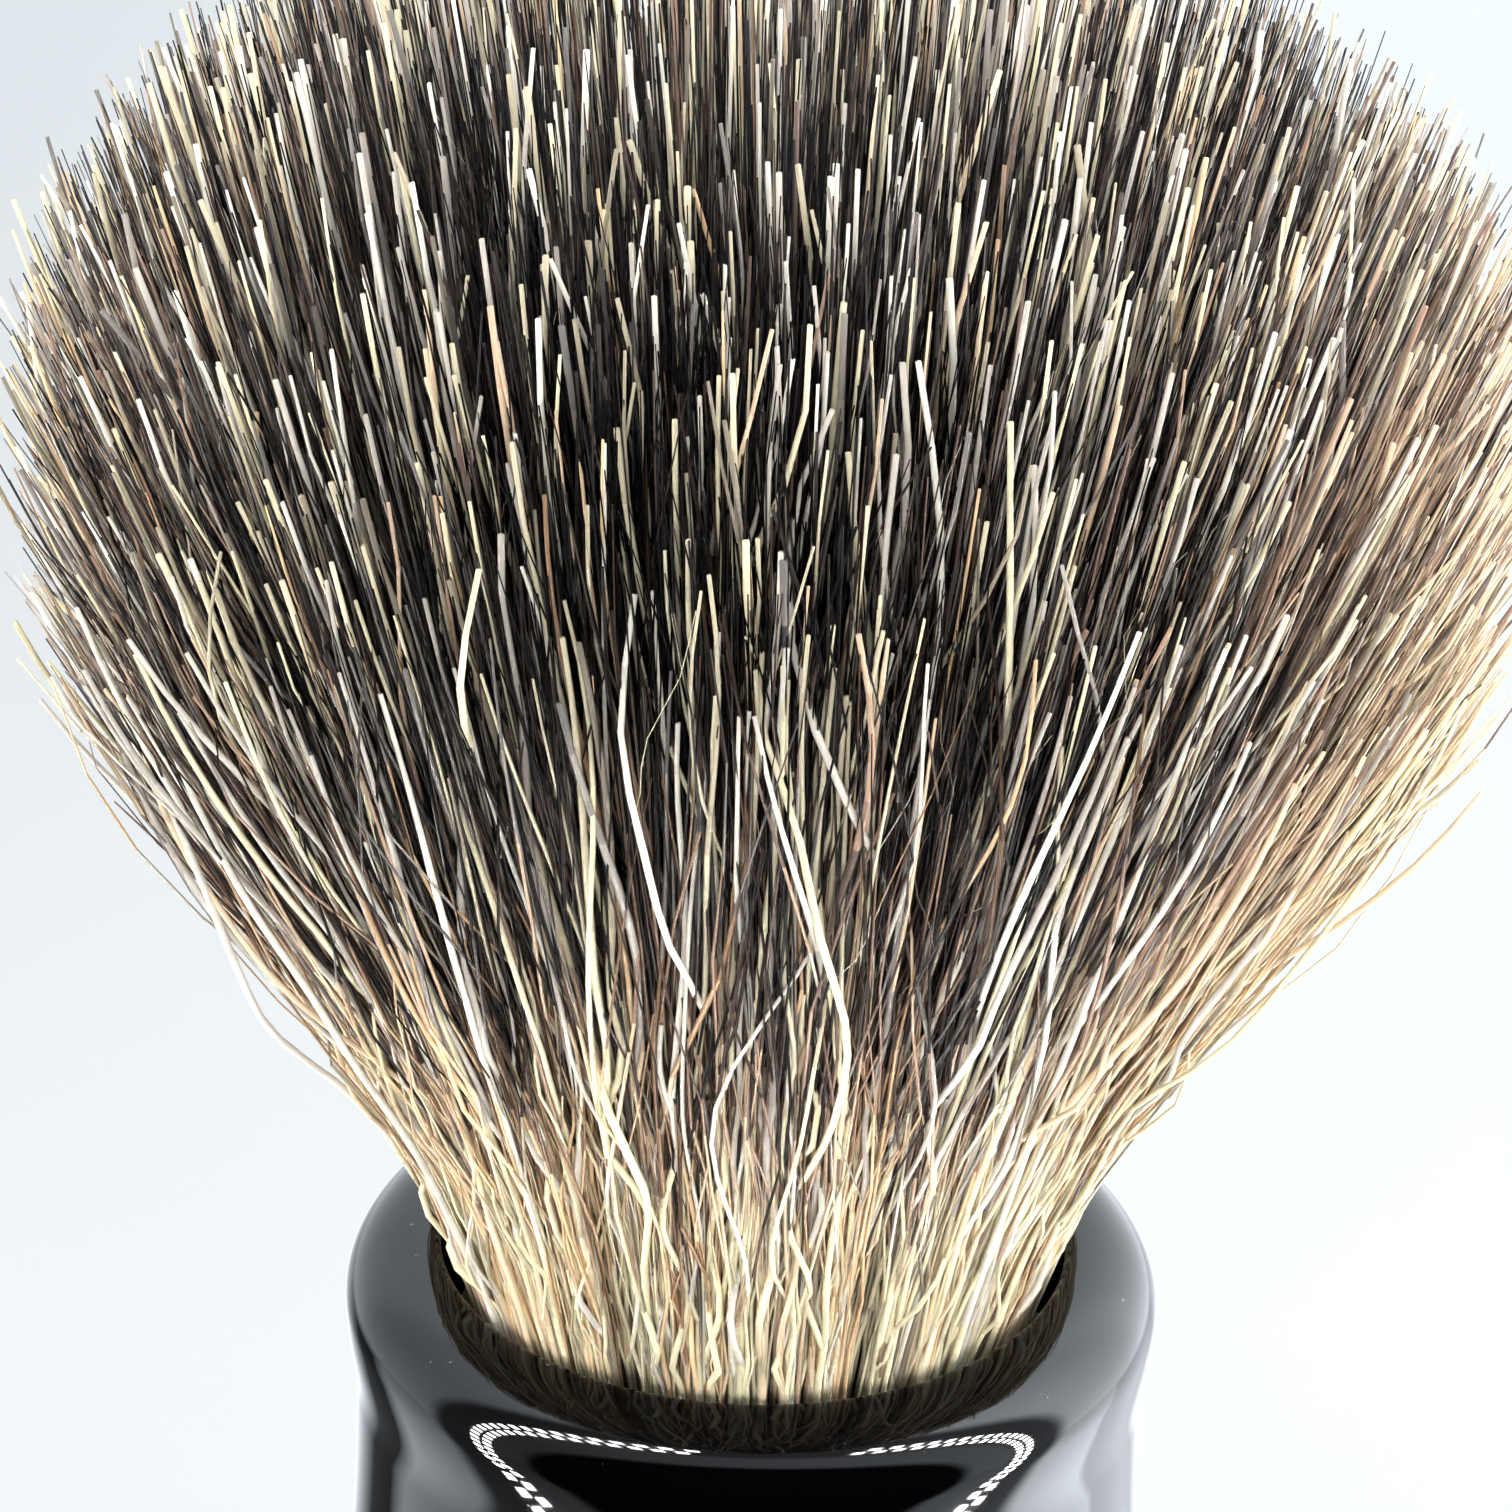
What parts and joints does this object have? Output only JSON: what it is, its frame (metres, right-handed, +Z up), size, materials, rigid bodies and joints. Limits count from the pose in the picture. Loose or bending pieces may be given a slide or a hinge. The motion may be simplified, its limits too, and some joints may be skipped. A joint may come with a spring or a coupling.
{
  "type": "shaving brush",
  "caption": "Shaving brush with a glossy black turned handle and a fan of banded badger hair set in the handle's socket.",
  "frame": {"origin": "centre of the foot's flat face, on the surface that the brush stands on", "axes": "+Z up along the turned handle's axis, from the foot to the tips of the hair; +X and +Y are alike, because the brush is round"},
  "size_m": [0.0474, 0.0474, 0.099],
  "materials": {
    "black_resin": "cast resin, turned and polished to a mirror gloss",
    "clear_adhesive": "set epoxy, amber, hidden in the socket",
    "plug_resin": "set casting resin, brown, hidden in the socket",
    "waxed_thread": "waxed thread, hidden in the socket",
    "badger_hair": "natural hair, cream at root and tip with a near-black band between"
  },
  "bodies": {
    "root": {"handle": "black_resin", "socket_adhesive": "clear_adhesive", "knot_plug": "plug_resin", "binding_thread": "waxed_thread", "hair_core": "badger_hair", "hair_inner_01": "badger_hair", "hair_inner_02": "badger_hair", "hair_inner_03": "badger_hair", "hair_inner_04": "badger_hair", "hair_inner_05": "badger_hair", "hair_inner_06": "badger_hair", "hair_inner_07": "badger_hair", "hair_inner_08": "badger_hair", "hair_outer_01": "badger_hair", "hair_outer_02": "badger_hair", "hair_outer_03": "badger_hair", "hair_outer_04": "badger_hair", "hair_outer_05": "badger_hair", "hair_outer_06": "badger_hair", "hair_outer_07": "badger_hair", "hair_outer_08": "badger_hair", "hair_outer_09": "badger_hair", "hair_outer_10": "badger_hair", "hair_outer_11": "badger_hair", "hair_outer_12": "badger_hair", "hair_outer_13": "badger_hair", "hair_outer_14": "badger_hair", "hair_outer_15": "badger_hair", "hair_outer_16": "badger_hair"}
  },
  "joints": []
}
